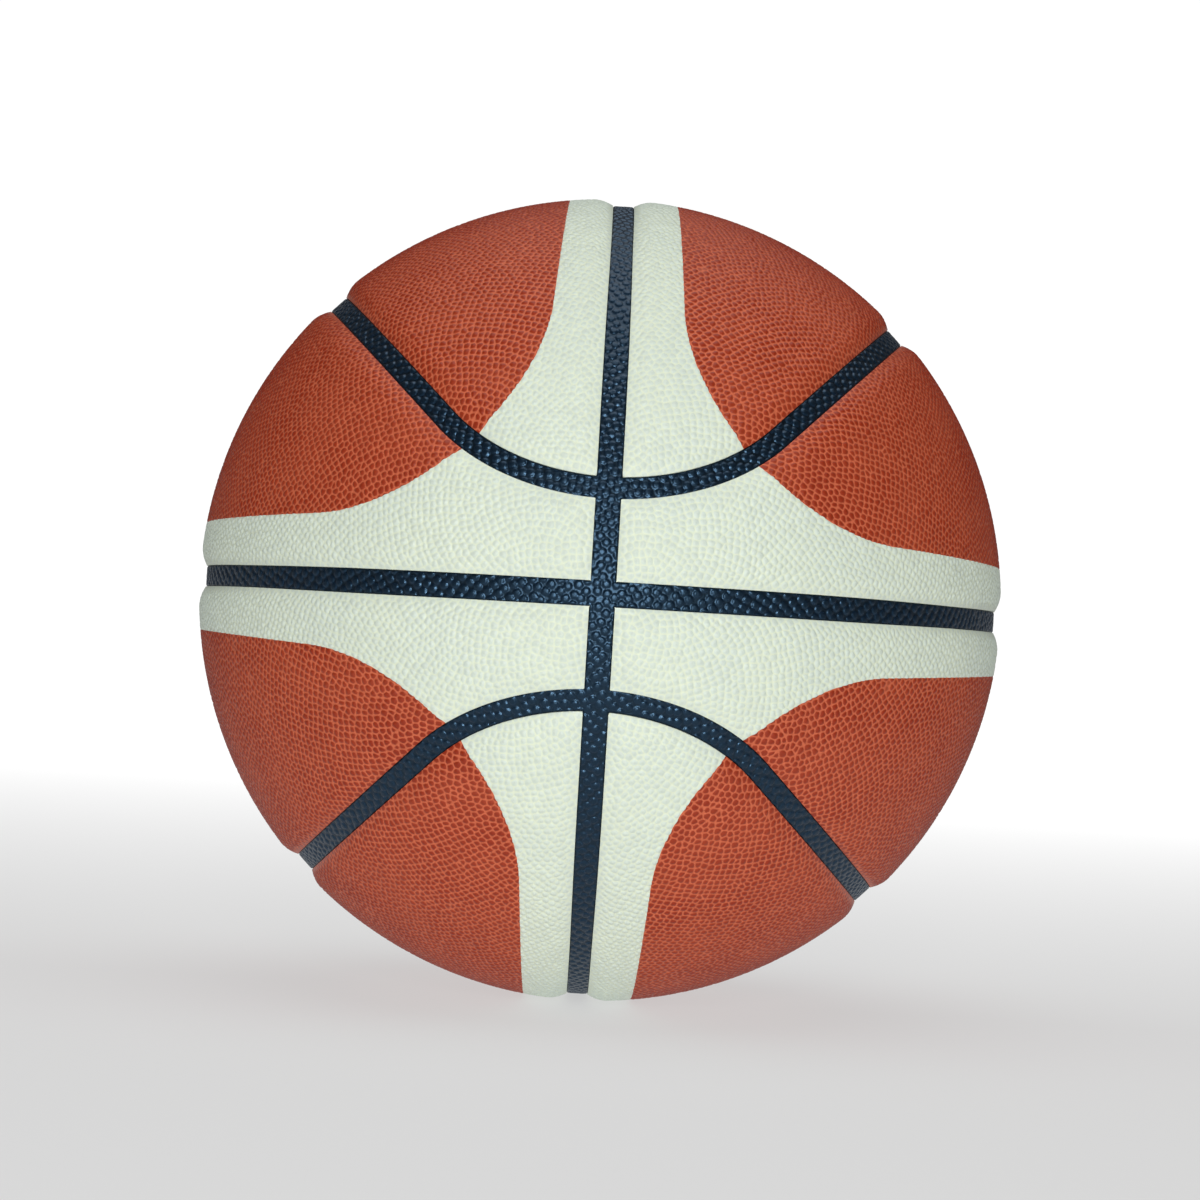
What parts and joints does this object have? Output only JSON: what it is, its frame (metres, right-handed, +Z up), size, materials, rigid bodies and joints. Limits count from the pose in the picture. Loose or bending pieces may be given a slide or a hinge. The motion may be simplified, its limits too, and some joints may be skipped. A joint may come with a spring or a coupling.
{
  "type": "basketball",
  "caption": "Inflated leather-covered ball with two-tone pebbled panels between recessed channels, for bouncing, passing and throwing through a hoop.",
  "frame": {"origin": "centre of the ball", "axes": "+Z up; the two straight seams lie in the planes x = 0 and z = 0 and cross on the Y axis, at the front (-Y) and the back (+Y)"},
  "size_m": [0.2412, 0.2406, 0.2414],
  "materials": {
    "orange_leather": "pebbled composite leather, semi-matte",
    "cream_leather": "pebbled composite leather, semi-matte",
    "channel_rubber": "pebbled blue-black rubber, satin",
    "bladder_rubber": "smooth black butyl rubber",
    "valve_rubber": "smooth black rubber",
    "nylon_thread": "wound thread set in latex"
  },
  "bodies": {
    "root": {"bladder": "bladder_rubber", "valve_housing": "valve_rubber", "valve_plug": "valve_rubber", "thread_winding": "nylon_thread", "carcass": "channel_rubber", "orange_cap_upper_left": "orange_leather", "orange_cap_upper_right": "orange_leather", "orange_cap_lower_left": "orange_leather", "orange_cap_lower_right": "orange_leather", "orange_side_upper_left": "orange_leather", "orange_side_upper_right": "orange_leather", "orange_side_lower_left": "orange_leather", "orange_side_lower_right": "orange_leather", "cream_cap_upper_left": "cream_leather", "cream_cap_upper_right": "cream_leather", "cream_cap_lower_left": "cream_leather", "cream_cap_lower_right": "cream_leather", "cream_side_upper_left": "cream_leather", "cream_side_upper_right": "cream_leather", "cream_side_lower_left": "cream_leather", "cream_side_lower_right": "cream_leather"}
  },
  "joints": []
}
